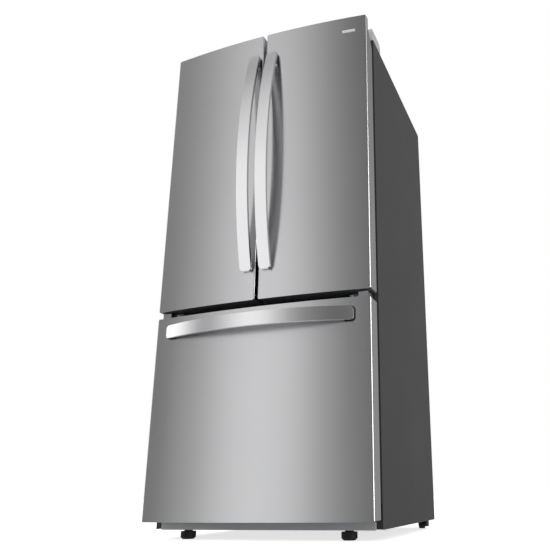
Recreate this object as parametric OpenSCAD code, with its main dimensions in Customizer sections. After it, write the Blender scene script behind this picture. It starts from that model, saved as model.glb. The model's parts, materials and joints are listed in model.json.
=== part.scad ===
// Refrigerator with two side-by-side doors over a pull-out freezer drawer.
// Millimetres. X to the right, the front faces -Y, Z up.
// The origin is on the floor, at the middle of the footprint with handles.

/* [Overall] */
// Width across the cabinet and the doors
width = 756; // [700:1:930]
// Height of the cabinet top above the floor
cabinet_top = 1684; // [1600:1:2050]
// Depth of the cabinet without doors
cabinet_depth = 663; // [600:1:800]
// Height of the cabinet underside above the floor
cabinet_under = 29; // [26:1:60]

/* [Doors] */
// Depth of a door from its front corner to its rear face
door_depth = 58; // [52:1:90]
// How far the middle of the curved fronts stands ahead of their corners
front_sag = 21.5; // [5:0.5:40]
// How far the door tops stand above the cabinet top
door_rise = 46; // [40:1:60]
// Underside of the two doors
door_bottom = 724; // [700:1:900]
// Height of the gap between the doors and the drawer front
front_gap = 24; // [16:1:40]
// Underside of the drawer front
drawer_bottom = 53; // [45:1:90]
// Gap between the two doors
door_gap = 12; // [5:0.5:16]
// Space between a closed door and the cabinet
gasket_gap = 19; // [8:0.5:24]
// Rounding of the upright front edges
edge_r = 4; // [2:0.5:8]
// Rounding of the door edges that face each other
inner_edge_r = 3; // [2.5:0.5:6]
// Rounding of the corners of each front
corner_r = 7; // [3:0.5:14]
// Sheet thickness of the door skins
skin_wall = 1.2; // [0.8:0.1:2]
// Thickness of the door liners
liner_plate = 3; // [2:0.5:5]
// Depth of the raised rim on a door liner
rim_depth = 30; // [15:1:40]
// Thickness of the raised rim
rim_wall = 16; // [10:1:24]
// Gap between the raised rim and the cavity wall
rim_gap = 14; // [14:1:30]
// Distance of the raised rim from the free side of a door
rim_free_inset = 41; // [38:1:60]
// How far a door's upper end cap reaches below the hinge recess
top_cap = 4; // [2:1:30]
// Height of a door's lower end cap
bottom_cap = 30; // [26:1:60]
// Height of the recess that runs down a door's side below its hinge pocket
scoop_drop = 60; // [26:1:70]
// Width of that recess
scoop_w = 14; // [4:0.5:16]
// Width of the seals
gasket_w = 14; // [10:1:18]
// Distance of a seal from the hinge side
gasket_inset = 24; // [23:1:30]

/* [Hinges] */
// Radius of the hinge pins
pin_r = 5; // [3:0.25:8]
// Radial clearance around the hinge pins
pin_clear = 0.06; // [0.02:0.01:0.1]
// Distance of the hinge axis from the cabinet side
pin_side = 23; // [20:1:30]
// Distance of the hinge axis behind the front corner
pin_back = 36; // [30:1:44]
// Length of the hinge pins inside the end caps
pin_reach = 18; // [12:1:22]
// Thickness of the hinge plates
hinge_plate = 5; // [3:0.5:8]
// Distance of the middle hinges from the cabinet sides
hinge_inset = 12; // [4:1:13]
// Width of the hinge arm
arm_w = 18; // [14:1:22]
// Height of the hinge covers
cover_h = 51; // [30:1:60]
// Depth of the hinge covers
cover_depth = 98; // [70:1:140]
// Width of the hinge covers
cover_w = 84; // [60:1:120]

/* [Handles] */
// Length of the door handles
handle_length = 820; // [600:1:900]
// Width of the door handles
handle_w = 40; // [20:1:50]
// How far the door handles stand out at the middle
handle_out = 68; // [50:1:90]
// Thickness of the handle straps
handle_t = 10; // [6:0.5:14]
// Distance of the door handles from the middle of the front
handle_x = 34; // [28:1:60]
// Lower end of the door handles above the door bottom
handle_rise = 96; // [40:1:200]
// Gap under the handle ends
handle_lift = 3; // [2:0.5:8]
// Length of the drawer handle
bar_length = 656; // [400:1:720]
// Width of the drawer handle
bar_w = 43; // [20:1:50]
// How far the drawer handle stands out at the middle
bar_out = 50; // [40:1:70]
// Middle of the drawer handle below the drawer top
bar_drop = 52; // [35:1:120]
// Radius of the handle standoffs
post_r = 9; // [5:0.5:11]

/* [Cabinet] */
// Thickness of the outer sheet
sheet = 1; // [0.6:0.1:2]
// Width of the sheet's front flange
flange_w = 38; // [20:1:44]
// Thickness of the inner liners
liner_wall = 1.5; // [1:0.1:3]
// Thickness of the insulation
wall_t = 47; // [35:1:60]
// Thickness of the back panel
back_t = 1.5; // [1:0.1:3]
// Height of the wall between the two cavities
divider = 95; // [70:1:120]
// Floor of the freezer cavity
freezer_floor = 148; // [140:1:200]
// Depth of the machine compartment
machine_depth = 240; // [220:1:260]
// Height of the machine compartment roof
machine_top = 252; // [245:1:280]
// Underside of the insulation
foam_under = 100; // [90:1:110]

/* [Interior] */
// Number of shelves above the crispers
shelf_count = 2; // [1:1:3]
// Distance of the shelf fronts behind the cabinet front
shelf_setback = 98; // [95:1:130]
// Distance of the inner drawers behind the shelf fronts
tub_setback = 27; // [20:1:60]
// Depth of the air duct on the rear wall
duct_t = 22; // [15:1:40]
// Gap between the shelves and the air duct
shelf_back = 2.5; // [2:0.5:40]
// Height of a shelf frame
shelf_h = 14; // [12:1:20]
// Thickness of the shelf glass
glass_t = 4; // [3:0.5:6]
// Height of the full-width pantry drawer
pantry_h = 107; // [80:1:140]
// Height of the crispers
crisper_h = 165; // [120:1:220]
// Wall thickness of the inner drawers and bins
tub_wall = 3; // [2:0.5:5]
// Number of bins on each door
bin_count = 3; // [2:1:4]
// Height of a door bin
bin_h = 110; // [70:1:120]
// Depth of a door bin
bin_depth = 95; // [60:1:97]
// Height of the freezer basket
basket_h = 289; // [200:1:290]
// Depth of the freezer basket
basket_depth = 340; // [250:1:345]
// Height of the upper freezer tray
tray_h = 90; // [60:1:100]
// Depth of the upper freezer tray
tray_depth = 238; // [180:1:280]

/* [Slides] */
// Length of the drawer slide members
slide_length = 440; // [380:1:445]
// Height of the outer slide member
slide_h = 44; // [34:1:50]
// Wall of the slide members
slide_wall = 2; // [1.5:0.1:3]
// Clearance between sliding members
slide_clear = 0.3; // [0.2:0.05:0.6]

/* [Feet and fans] */
// Radius of the levelling feet
foot_r = 23.5; // [18:0.5:27]
// Radius of the foot spindles
spindle_r = 6; // [4:0.5:10]
// Distance of the feet from the middle
foot_x = 270; // [200:1:320]
// Radius of the rear rollers
roller_r = 20; // [14:1:22]
// Radius of the roller axles and fan shafts
axle_r = 4; // [3:0.25:6]
// Radial clearance of axles, spindles and shafts
axle_clear = 0.06; // [0.02:0.01:0.1]
// Radius of the condenser fan
fan_r = 62; // [45:1:70]
// Radius of the evaporator fan
cold_fan_r = 40; // [30:1:44]

/* [Hidden] */
$fn = 64;
big_fn = 720;
gap = 0.3;
half = width / 2;
door_top = cabinet_top + door_rise;
drawer_top = door_bottom - front_gap;
front_r = (half * half + front_sag * front_sag) / (2 * front_sag);
cab_from_face = door_depth + gasket_gap;
back_from_face = cab_from_face + cabinet_depth;
function bulge(x) = front_sag - front_r + sqrt(front_r * front_r - x * x);
reach = bulge(handle_x - handle_w / 2) + handle_out;
y_face = (reach - back_from_face) / 2;
y_rear = y_face + door_depth;
y_cab = y_face + cab_from_face;
y_back = y_face + back_from_face;
y_pin = y_face + pin_back;
x_pin = half - pin_side;
arc_y = y_face - front_sag + front_r;
function y_front(x) = y_face - bulge(x);

y_foam = y_cab + sheet + liner_wall;
cav_x = half - sheet - wall_t;
fridge_floor = drawer_top - 35 + divider;
fridge_roof = cabinet_top - sheet - wall_t + 4;
freezer_roof = drawer_top - 35;
y_cav_back = y_back - back_t - wall_t - 12;
y_machine = y_back - machine_depth;
step_z = machine_top + wall_t - 2;
y_low_back = y_machine - wall_t - 1;
y_high_back = y_cav_back - 40;

pocket_h = door_rise + 3;
pocket_w = pin_side + arm_w / 2 + 6;
pocket_front = pin_back - arm_w / 2 - 10;
liner_top = door_top - pocket_h - 3;
cap_h = pocket_h + scoop_drop + top_cap;
panel_clear = 0.3;
end_fold = skin_wall + panel_clear;
y_liner = y_rear + liner_plate;
y_gasket = y_cab - 0.5;
rim_low = fridge_floor + 20;
rim_high = fridge_roof - 20;
rim_out = cav_x - rim_gap;
rim_in = door_gap / 2 + rim_free_inset;

flap_w = 54;
flap_t = 18;
flap_x = -22;
flap_y = y_cab + 2 + flap_t / 2;
flap_tail = 4;
flap_low = fridge_floor + 16;
flap_high = fridge_roof - 17;
flap_pin_r = 3;
lug_h = 10;

y_shelf = y_cab + shelf_setback;
shelf_depth = y_cav_back - duct_t - shelf_back - y_shelf;
rib_w = 11.5;
rib_x = cav_x - rib_w;
rib_h = 6;
pantry_low = fridge_floor + 18;
pantry_top = pantry_low + pantry_h;
pantry_shelf = pantry_top + rib_h + 2;
crisper_low = pantry_shelf + shelf_h + 5;
crisper_top = crisper_low + crisper_h;
crisper_shelf = crisper_top + rib_h + 2;
shelf_pitch = (fridge_roof - crisper_shelf - shelf_h) / (shelf_count + 1);
shelf_levels = concat([pantry_shelf, crisper_shelf],
    [for (i = [1:shelf_count]) crisper_shelf + i * shelf_pitch]);
y_tub = y_shelf + tub_setback;
tub_depth = shelf_depth - tub_setback - 15;
rim_t = 4;

bin_low = crisper_shelf + 45;
bin_pitch = (rim_high - rim_wall - 8 - bin_low - bin_h) / (bin_count - 1);

slide_mid_z = drawer_top - 238;
slide_z = slide_mid_z - slide_h / 2;
slide_x = cav_x - 11;
y_slide = y_cab + 35;
ledge_h = 5.4;
inner_low = slide_z + 2 * slide_wall + 2 * slide_clear;
basket_rim = inner_low + ledge_h + rim_t;
basket_x = slide_x - 13 - slide_wall;
y_basket = y_liner + rim_depth + 2;

spindle_top = 92;
beam_low = 62;
beam_depth = 34;
y_foot = y_cab + 18;
rail_w = 20;
rail_x = half - sheet - rail_w;
y_roller = y_back - 60;
roller_w = 18;
roller_x = rail_x - 5 - roller_w;
plate_top = 34;
fan_z = 140;
y_machine_mid = (y_machine + y_back) / 2;
y_cold = y_high_back - 50;
cold_fan_z = freezer_roof - 53;

handle_low = door_bottom + handle_rise;
handle_posts = [handle_low + 34, handle_low + handle_length - 34];
handle_bow = handle_out - handle_t - handle_lift;
bar_z = drawer_top - bar_drop;
bar_posts = [34 - bar_length / 2, bar_length / 2 - 34];
bar_base = y_front(bar_length / 2) - handle_lift;
bar_bow = bar_base - (y_face - front_sag - bar_out + handle_t);
function strap_out(length, bow, x) =
    let (ri = (length * length / 4 + bow * bow) / (2 * bow))
    sqrt(ri * ri - x * x) - ri + bow;

// Helpers

module box(a, b) {
    translate(a) cube(b - a);
}

module both_sides() {
    children();
    mirror([1, 0, 0]) children();
}

// A rectangle with round corners, centred on the origin
module round_rect(w, h, r) {
    square([w - 2 * r, h], center = true);
    square([w, h - 2 * r], center = true);
    for (x = [r - w / 2, w / 2 - r]) {
        for (y = [r - h / 2, h / 2 - r]) {
            translate([x, y]) circle(r);
        }
    }
}

// What a rounded corner between a side and the curved front takes away
module corner_cut(side, into, radius, r) {
    cx = side + into * r;
    cy = arc_y - sqrt((radius - r) * (radius - r) - cx * cx);
    away = [cx, cy - arc_y] / norm([cx, cy - arc_y]);
    difference() {
        polygon([[cx, cy], [cx, cy] + 4 * r * away,
            [side - 4 * into * r, cy - 4 * r], [side - 4 * into * r, cy]]);
        translate([cx, cy]) circle(r);
    }
}

// Plan of a door from x0 to x1, drawn in by inset all round
module plan(x0, x1, inset, back) {
    r = edge_r - inset;
    r_in = (x0 > 0 ? inner_edge_r : edge_r) - inset;
    difference() {
        intersection() {
            translate([x0 + inset, y_face - front_sag - 9])
                square([x1 - x0 - 2 * inset, back - y_face + front_sag + 9]);
            translate([0, arc_y]) circle(front_r - inset, $fn = big_fn);
        }
        corner_cut(x0 + inset, 1, front_r - inset, r_in);
        corner_cut(x1 - inset, -1, front_r - inset, r);
    }
}

// Front outline of a door with round corners, as a block through its depth
module outline(x0, x1, z0, z1) {
    translate([(x0 + x1) / 2, y_rear + 1, (z0 + z1) / 2])
        rotate([90, 0, 0])
            linear_extrude(door_depth + front_sag + 20)
                round_rect(x1 - x0, z1 - z0, corner_r);
}

// Sheet skin of a front: open at both ends, or closed by end sheets
module front_skin(x0, x1, z0, z1, end) {
    intersection() {
        difference() {
            translate([0, 0, z0]) linear_extrude(z1 - z0) plan(x0, x1, 0, y_rear);
            translate([0, 0, z0 + end]) linear_extrude(z1 - z0 - 2 * end)
                plan(x0, x1, skin_wall, y_rear - skin_wall);
            box([x0 + gasket_w, y_rear - 2 * skin_wall, z0 + 12 * end],
                [x1 - gasket_w, y_rear + 1, z1 - 12 * end]);
        }
        outline(x0, x1, z0, z1);
    }
}

module front_core(x0, x1, z0, z1) {
    translate([0, 0, z0]) linear_extrude(z1 - z0)
        plan(x0, x1, skin_wall + panel_clear, y_rear - skin_wall);
}

// A four-sided frame in the plane of the doors
module ring(a, b, w) {
    difference() {
        box(a, b);
        box([a.x + w, a.y - 1, a.z + w], [b.x - w, b.y + 1, b.z - w]);
    }
}

// An open tub with a rim along its two sides
module tub(a, b, wall, rim) {
    difference() {
        box(a, b);
        box([a.x + wall, a.y + wall, a.z + wall],
            [b.x - wall, b.y - wall, b.z + 1]);
    }
    for (x = [[a.x - rim[0], a.x + wall / 2], [b.x - wall / 2, b.x + rim[1]]]) {
        if (x[1] - x[0] > wall) {
            box([x[0], a.y, b.z - rim_t], [x[1], b.y, b.z]);
        }
    }
}

// A bowed strap: its ends rest on y = 0 and it bows towards -Y
module strap(length, bow, w, r) {
    ri = (length * length / 4 + bow * bow) / (2 * bow);
    intersection() {
        translate([0, 0, -w / 2]) linear_extrude(w) difference() {
            translate([0, ri - bow]) circle(ri + handle_t, $fn = big_fn);
            translate([0, ri - bow]) circle(ri, $fn = big_fn);
        }
        translate([0, 5, 0]) rotate([90, 0, 0])
            linear_extrude(bow + handle_t + 10) round_rect(length, w, r);
    }
}

// A standoff along Y with a thin stud that enters the door skin
module standoff(face, far) {
    rotate([90, 0, 0]) {
        translate([0, 0, gap - face]) cylinder(r = post_r, h = far - gap);
        translate([0, 0, gap - face - skin_wall])
            cylinder(r = post_r - 4, h = skin_wall + 1);
    }
}

// Cabinet shell

module cabinet_wrapper() color([0.33, 0.34, 0.35]) {
    translate([0, y_back, 0]) rotate([90, 0, 0])
        linear_extrude(cabinet_depth) difference() {
            translate([-half, cabinet_under])
                square([width, cabinet_top - cabinet_under]);
            translate([sheet - half, cabinet_under - 1])
                square([width - 2 * sheet, cabinet_top - cabinet_under + 1 - sheet]);
        }
    both_sides() box([half - flange_w, y_cab, foam_under],
        [half - sheet / 2, y_cab + sheet, cabinet_top - sheet / 2]);
    box([flange_w / 2 - half, y_cab, cabinet_top - flange_w],
        [half - flange_w / 2, y_cab + sheet, cabinet_top - sheet / 2]);
}

module back_panel() color([0.7, 0.71, 0.72])
    box([sheet - half, y_back - back_t, machine_top + 5],
        [half - sheet, y_back, cabinet_top - sheet]);

module fridge_space(grow) {
    box([-cav_x - grow, y_cab - 1, fridge_floor - grow],
        [cav_x + grow, y_cav_back + grow, fridge_roof + grow]);
}

module freezer_space(grow) {
    box([-cav_x - grow, y_cab - 1, freezer_floor - grow],
        [cav_x + grow, y_low_back + grow, freezer_roof + grow]);
    box([-cav_x - grow, y_cab, step_z - grow],
        [cav_x + grow, y_high_back + grow, freezer_roof + grow]);
}

module cabinet_foam() color([0.86, 0.8, 0.55]) difference() {
    box([sheet - half, y_foam, foam_under],
        [half - sheet, y_back - back_t, cabinet_top - sheet]);
    fridge_space(liner_wall);
    freezer_space(liner_wall);
    box([-half, y_machine - sheet, 0], [half, y_back + 1, machine_top + sheet]);
    rail_cut(gap);
}

module rail_cut(grow) {
    box([sheet - half, y_cab + sheet, drawer_top - 12 - grow],
        [half - sheet, y_cab + 24 + grow, drawer_top + 38 + grow]);
}

module fridge_liner() color([0.95, 0.95, 0.94]) {
    difference() {
        union() {
            fridge_space(liner_wall);
            box([sheet - half, y_cab + sheet, drawer_top + 38.3],
                [half - sheet, y_foam, cabinet_top - sheet]);
        }
        fridge_space(0);
        box([-half, y_cab - 2, fridge_floor - 2], [half, y_cab + sheet, cabinet_top]);
    }
    both_sides() {
        for (z = shelf_levels) {
            box([rib_x, y_shelf, z - rib_h], [cav_x + 1, y_shelf + shelf_depth, z]);
        }
    }
    drawer_ribs();
}

// Ledges that carry the rims of the inner drawers
module drawer_ribs() {
    both_sides() for (z = [pantry_top, crisper_top]) {
        box([rib_x, y_shelf, z - rim_t - 0.2 - 4],
            [cav_x + 1, y_shelf + shelf_depth, z - rim_t - 0.2]);
    }
}

module freezer_liner() color([0.95, 0.95, 0.94]) difference() {
    union() {
        freezer_space(liner_wall);
        box([sheet - half, y_cab + sheet, foam_under],
            [half - sheet, y_foam, drawer_top - 12.3]);
    }
    freezer_space(0);
    box([-half, y_cab - 2, 0], [half, y_cab + sheet, fridge_floor]);
}

module front_cross_rail() color([0.12, 0.12, 0.13])
    box([sheet - half, y_cab + sheet, drawer_top - 12],
        [half - sheet, y_cab + 24, drawer_top + 38]);

module base_frame() color([0.1, 0.1, 0.11]) difference() {
    union() {
        both_sides() {
            box([rail_x, y_cab + 1, cabinet_under + 1],
                [half - sheet, y_back - back_t - 0.5, foam_under]);
            box([rail_x, y_roller - 14, roller_r - 12],
                [rail_x + 9, y_roller + 14, cabinet_under + 2]);
        }
        box([-rail_x - 1, y_cab + 6, beam_low],
            [rail_x + 1, y_cab + 6 + beam_depth, foam_under]);
        box([-rail_x - 1, y_machine - sheet, cabinet_under + 1],
            [rail_x + 1, y_back - back_t - 0.5, plate_top]);
        box([-rail_x - 1, y_machine - sheet, plate_top - 1],
            [rail_x + 1, y_machine + 1, machine_top]);
        box([-rail_x - 1, y_machine - sheet, machine_top - 1],
            [rail_x + 1, y_back - back_t - 0.5, machine_top + sheet]);
    }
    both_sides() {
        translate([foot_x, y_foot, 0])
            cylinder(r = spindle_r + axle_clear, h = spindle_top + 1);
        translate([rail_x - 1, y_roller, roller_r]) rotate([0, 90, 0])
            cylinder(r = axle_r + axle_clear, h = 8);
        box([roller_x - 6, y_roller - roller_r - 6, 0],
            [rail_x, y_roller + roller_r + 6, plate_top + 1]);
    }
    translate([-190, y_machine_mid, 0]) for (x = [-70, 70]) {
        for (y = [-55, 55]) {
            translate([x, y, 0]) cylinder(r = 4.5, h = plate_top + 1);
        }
    }
}

module kick_plate() color([0.45, 0.46, 0.48]) {
    box([-rail_x, y_cab - 3, cabinet_under - 1.5],
        [rail_x, y_cab - 0.5, beam_low + 8]);
    both_sides() for (x = [60, 200, 330]) {
        box([x - 8, y_cab - 1, beam_low], [x + 8, y_cab + 6, beam_low + 8]);
    }
}

// Hinges

module top_hinges() color([0.75, 0.76, 0.77]) both_sides() {
    translate([0, 0, cabinet_top]) linear_extrude(hinge_plate) {
        translate([half - cover_w + 6, y_cab + 8])
            square([cover_w - 20, cover_depth - 20]);
        translate([x_pin - arm_w / 2, y_pin]) square([arm_w, y_cab + 9 - y_pin]);
        translate([x_pin, y_pin]) circle(arm_w / 2);
    }
    translate([x_pin, y_pin, door_top - pocket_h - pin_reach])
        cylinder(r = pin_r, h = pocket_h + pin_reach - door_rise + 1);
}

module hinge_covers() color([0.72, 0.73, 0.74]) both_sides() {
    translate([half - cover_w - 4, 0, 0]) rotate([90, 0, 90]) difference() {
        linear_extrude(cover_w) cover_side(0);
        translate([0, 0, 2]) linear_extrude(cover_w - 4) cover_side(2);
        translate([y_cab, cabinet_top - 1, x_pin - arm_w / 2 - half + cover_w + 3])
            cube([4, hinge_plate + 2, arm_w + 2]);
    }
}

module cover_side(wall) {
    r = 22 - wall;
    y1 = y_cab + cover_depth - wall;
    z1 = cabinet_top + cover_h - wall;
    difference() {
        translate([y_cab + 1 + wall, cabinet_top - wall])
            square([cover_depth - 1 - 2 * wall, cover_h]);
        translate([y1 - r, z1 - r]) difference() {
            square([r + 1, r + 1]);
            circle(r);
        }
    }
}

module middle_hinges() color([0.8, 0.81, 0.82]) both_sides() {
    z = drawer_top + front_gap / 2 - hinge_plate;
    x1 = half - hinge_inset;
    translate([0, 0, z]) linear_extrude(hinge_plate) difference() {
        translate([half - 78, y_face + 10]) square([78 - hinge_inset, door_depth + gasket_gap - 10]);
        translate([half - 79, y_face + 9]) square([36, 20]);
        translate([half - 36, y_face + 45]) circle(5);
    }
    translate([half - 68, y_face + 22, z]) cylinder(r = 9, h = hinge_plate);
    low = drawer_top + 3;
    high = door_bottom - 3;
    box([half - 43, y_face + 10, low], [x1, y_face + 13, high]);
    box([half - 78, y_face + 29, low], [half - 42, y_face + 32, high]);
    box([x1 - 3, y_face + 10, low], [x1, y_cab - 1, high]);
    box([half - 78, y_cab - 3, drawer_top - 8], [x1, y_cab, drawer_top + 34]);
    translate([x_pin, y_pin, z + 1])
        cylinder(r = pin_r, h = door_bottom - z - 1 + pin_reach);
    translate([x_pin, y_pin, z + 1])
        cylinder(r = pin_r + 4, h = door_bottom - z - 1 - 0.2);
}

// Machine compartment

module compressor() color([0.08, 0.08, 0.09]) translate([-190, y_machine_mid, 0]) {
    translate([0, 0, 62]) rotate_extrude() difference() {
        square([72, 146]);
        translate([52, 0]) difference() {
            translate([0, -1]) square([21, 21]);
            translate([0, 20]) circle(20);
        }
        translate([52, 146]) difference() {
            translate([0, -20]) square([21, 21]);
            translate([0, -20]) circle(20);
        }
    }
    box([-86, -70, 56], [86, 70, 62.5]);
    for (x = [-70, 70]) {
        for (y = [-55, 55]) {
            translate([x, y, plate_top]) cylinder(r = 11, h = 23);
            translate([x, y, cabinet_under]) cylinder(r = 4, h = 38);
        }
    }
    box([60, -22, 96], [88, 22, 156]);
}

module condenser() color([0.14, 0.14, 0.15]) {
    y0 = y_machine_mid - 66;
    for (i = [0:4]) {
        for (k = [0:2]) {
            translate([70, y0 + 26 + 40 * k, 82 + 24 * i]) rotate([0, 90, 0])
                cylinder(r = 3.2, h = 220);
        }
    }
    for (i = [0:15]) {
        box([76 + 13.6 * i, y0, 66], [77.2 + 13.6 * i, y0 + 132, 194]);
    }
    for (x = [70, 287]) {
        box([x, y0 - 4, 60], [x + 2.4, y0 + 136, 200]);
    }
    for (k = [0:2]) {
        box([67, y0 + 20 + 40 * k, 78], [72, y0 + 32 + 40 * k, 182]);
        box([287, y0 + 20 + 40 * k, 78], [293, y0 + 32 + 40 * k, 182]);
    }
}

module condenser_fan_motor() color([0.25, 0.25, 0.27])
    translate([0, y_machine_mid, fan_z]) {
        translate([-62, 0, 0]) rotate([0, 90, 0]) cylinder(r = 28, h = 44);
        translate([-20, 0, 0]) rotate([0, 90, 0]) cylinder(r = axle_r, h = 36);
        box([-54, -12, plate_top - fan_z], [-26, 12, -20]);
        box([-64, -30, plate_top - fan_z], [-16, 30, plate_top - fan_z + 3]);
    }

// A fan about the Z axis: blades lean from the hub and the hub takes a shaft
module rotor(r, hub, h, chord, blades) {
    difference() {
        union() {
            cylinder(r = hub, h = h);
            for (i = [0:blades - 1]) {
                rotate([0, 0, i * 360 / blades]) translate([hub - 4, 0, h / 2])
                    rotate([28, 0, 0]) translate([0, -chord / 2, -1])
                        cube([r - hub + 4, chord, 2]);
            }
        }
        translate([0, 0, -1]) cylinder(r = axle_r + axle_clear, h = h + 2);
    }
}

module condenser_fan() color([0.2, 0.2, 0.22])
    translate([-11, y_machine_mid, fan_z]) rotate([0, 90, 0])
        rotor(fan_r, 18, 24, 22, 6);

module drain_pan() color([0.3, 0.3, 0.32])
    tub([62, y_machine_mid - 84, plate_top], [300, y_machine_mid + 84, 58],
        2, [0, 0]);

module machine_cover() color([0.6, 0.61, 0.62]) difference() {
    union() {
        box([sheet - half, y_back - back_t, cabinet_under + 12],
            [half - sheet, y_back, machine_top + 4.5]);
        translate([-250, y_back, 200]) rotate([90, 0, 0]) cylinder(r = 14, h = 16);
    }
    for (i = [0:6]) {
        for (x = [-170, -60, 50, 160]) {
            box([x, y_back - back_t - 1, 70 + 14 * i], [x + 90, y_back + 1, 76 + 14 * i]);
        }
    }
    translate([-250, y_back + 1, 200]) rotate([90, 0, 0]) cylinder(r = 5, h = 20);
}

// Freezer air circuit

module evaporator() color([0.8, 0.81, 0.83]) {
    z0 = step_z + 24;
    for (i = [0:4]) {
        for (k = [0:1]) {
            translate([-236, y_cold + 12 + 22 * k, z0 + 24 + 40 * i])
                rotate([0, 90, 0]) cylinder(r = 4, h = 472);
        }
    }
    for (i = [0:22]) {
        box([20 * i - 221, y_cold + 2, z0 + 6], [20 * i - 219.8, y_cold + 42, z0 + 206]);
    }
    both_sides() box([228, y_cold - 10, z0], [231, y_cold + 44, z0 + 212]);
    for (k = [0:1]) {
        box([-240, y_cold + 7 + 22 * k, z0 + 18], [-234, y_cold + 17 + 22 * k, z0 + 190]);
        box([234, y_cold + 7 + 22 * k, z0 + 18], [240, y_cold + 17 + 22 * k, z0 + 190]);
    }
}

module evaporator_fan_motor() color([0.22, 0.22, 0.24])
    translate([0, y_cold, cold_fan_z]) rotate([-90, 0, 0]) {
        translate([0, 0, 18]) cylinder(r = 20, h = 20);
        cylinder(r = axle_r, h = 20);
        translate([0, 0, 37]) cylinder(r = 6, h = 13);
        translate([0, 0, 47]) cylinder(r = 16, h = 3);
    }

module evaporator_fan() color([0.85, 0.86, 0.87])
    translate([0, y_cold, cold_fan_z]) rotate([-90, 0, 0])
        rotor(cold_fan_r, 13, 16, 14, 5);

module evaporator_cover() color([0.93, 0.93, 0.92]) difference() {
    box([0.5 - cav_x, y_cold - 16, step_z], [cav_x - 0.5, y_cold - 10, freezer_roof]);
    translate([0, y_cold, cold_fan_z]) rotate([90, 0, 0])
        cylinder(r = cold_fan_r + 4, h = 30);
    for (i = [-6:6]) {
        box([36 * i - 12, y_cold - 20, step_z + 14], [36 * i + 12, y_cold, step_z + 22]);
    }
}

module air_duct() color([0.9, 0.9, 0.9]) difference() {
    box([-70, y_cav_back - duct_t, crisper_shelf + 40], [70, y_cav_back, fridge_roof - 30]);
    for (z = [crisper_shelf + 90:shelf_pitch:fridge_roof - 70]) {
        for (slot = [z, z + 16]) {
            box([-50, y_cav_back - duct_t - 1, slot], [50, y_cav_back - duct_t / 2 - 1, slot + 8]);
        }
    }
}

module interior_lamp() color([0.97, 0.97, 0.9])
    box([-70, y_shelf + 120, fridge_roof - 9], [70, y_shelf + 190, fridge_roof]);

module control_panel() color([0.85, 0.86, 0.88])
    box([-110, y_cab + 40, fridge_roof - 12], [110, y_cab + 110, fridge_roof]);

// Shelves and inner drawers

module shelf_frames() color([0.9, 0.9, 0.9]) {
    for (z = shelf_levels) {
        difference() {
            box([0.5 - cav_x, y_shelf, z], [cav_x - 0.5, y_shelf + shelf_depth, z + shelf_h]);
            shelf_pane(z, 0.2);
            box([30 - cav_x, y_shelf + 26, z - 1],
                [cav_x - 30, y_shelf + shelf_depth - 26, z + shelf_h + 1]);
        }
    }
    low = crisper_top - rim_t - 8.2;
    box([-9, y_shelf, low], [9, y_tub + tub_depth, low + 8]);
    box([-2, y_shelf, low + 1], [2, y_tub + tub_depth, crisper_shelf + 1]);
}

module shelf_pane(z, grow) {
    box([18 - cav_x - grow, y_shelf + 14 - grow, z + shelf_h - 1 - glass_t],
        [cav_x - 18 + grow, y_shelf + shelf_depth - 14 + grow, z + shelf_h - 1 + 5 * grow]);
}

module shelf_glass() color([0.75, 0.85, 0.85, 0.5])
    for (z = shelf_levels) {
        shelf_pane(z, 0);
    }

module crisper() difference() {
    tub([12, y_tub, crisper_low], [rib_x - 1, y_tub + tub_depth, crisper_top],
        tub_wall, [9, rib_w - 4]);
    box([cav_x / 2 - 25, y_tub - 1, crisper_top - 30],
        [cav_x / 2 + 25, y_tub + tub_wall + 1, crisper_top - 24]);
}

module crisper_left() color([0.85, 0.9, 0.92, 0.6]) mirror([1, 0, 0]) crisper();

module crisper_right() color([0.85, 0.9, 0.92, 0.6]) crisper();

module humidity_slider(x) translate([x, y_tub, crisper_top - 30]) {
    box([-9, -6, -4], [9, -gap, 10]);
    box([-7, -1, gap], [7, tub_wall + 1, 6 - gap]);
    box([-9, tub_wall + gap, -3], [9, tub_wall + 2, 9]);
}

module humidity_slider_left() color([0.6, 0.75, 0.7])
    humidity_slider(-cav_x / 2 - 15);

module humidity_slider_right() color([0.6, 0.75, 0.7])
    humidity_slider(cav_x / 2 - 15);

module pantry_drawer() color([0.85, 0.9, 0.92, 0.6])
    tub([1 - rib_x, y_tub, pantry_low], [rib_x - 1, y_tub + tub_depth, pantry_top],
        tub_wall, [rib_w - 4, rib_w - 4]);

// Doors

module hinge_pocket() {
    floor_z = door_top - pocket_h;
    box([half - pocket_w, y_face + pocket_front, floor_z], [half + 1, y_rear + 5, door_top + 1]);
    translate([half - scoop_w, 0, 0]) rotate([90, 0, 90]) linear_extrude(scoop_w + 1)
        polygon([[y_face + pocket_front + 7, floor_z + 1], [y_rear + 5, floor_z + 1],
            [y_rear + 5, floor_z - scoop_drop], [y_face + pocket_front + 7, floor_z]]);
}

module door_skin() color([0.72, 0.73, 0.74]) difference() {
    front_skin(door_gap / 2, half, door_bottom, door_top, 0);
    hinge_pocket();
    for (z = handle_posts) {
        translate([handle_x, y_face, z]) rotate([90, 0, 0])
            cylinder(r = post_r - 4 + 0.2, h = 50);
    }
}

module door_core() color([0.88, 0.82, 0.58])
    front_core(door_gap / 2, half, door_bottom + bottom_cap, door_top - cap_h);

module door_caps() color([0.35, 0.36, 0.37]) difference() {
    intersection() {
        union() {
            front_core(door_gap / 2, half, door_bottom, door_bottom + bottom_cap);
            front_core(door_gap / 2, half, door_top - cap_h, door_top);
        }
        outline(door_gap / 2, half, door_bottom, door_top);
    }
    hinge_pocket();
    translate([x_pin, y_pin, door_bottom - 1])
        cylinder(r = pin_r + pin_clear, h = pin_reach + 3);
    translate([x_pin, y_pin, door_top - pocket_h - pin_reach - 2])
        cylinder(r = pin_r + pin_clear, h = pin_reach + 3);
}

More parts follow.
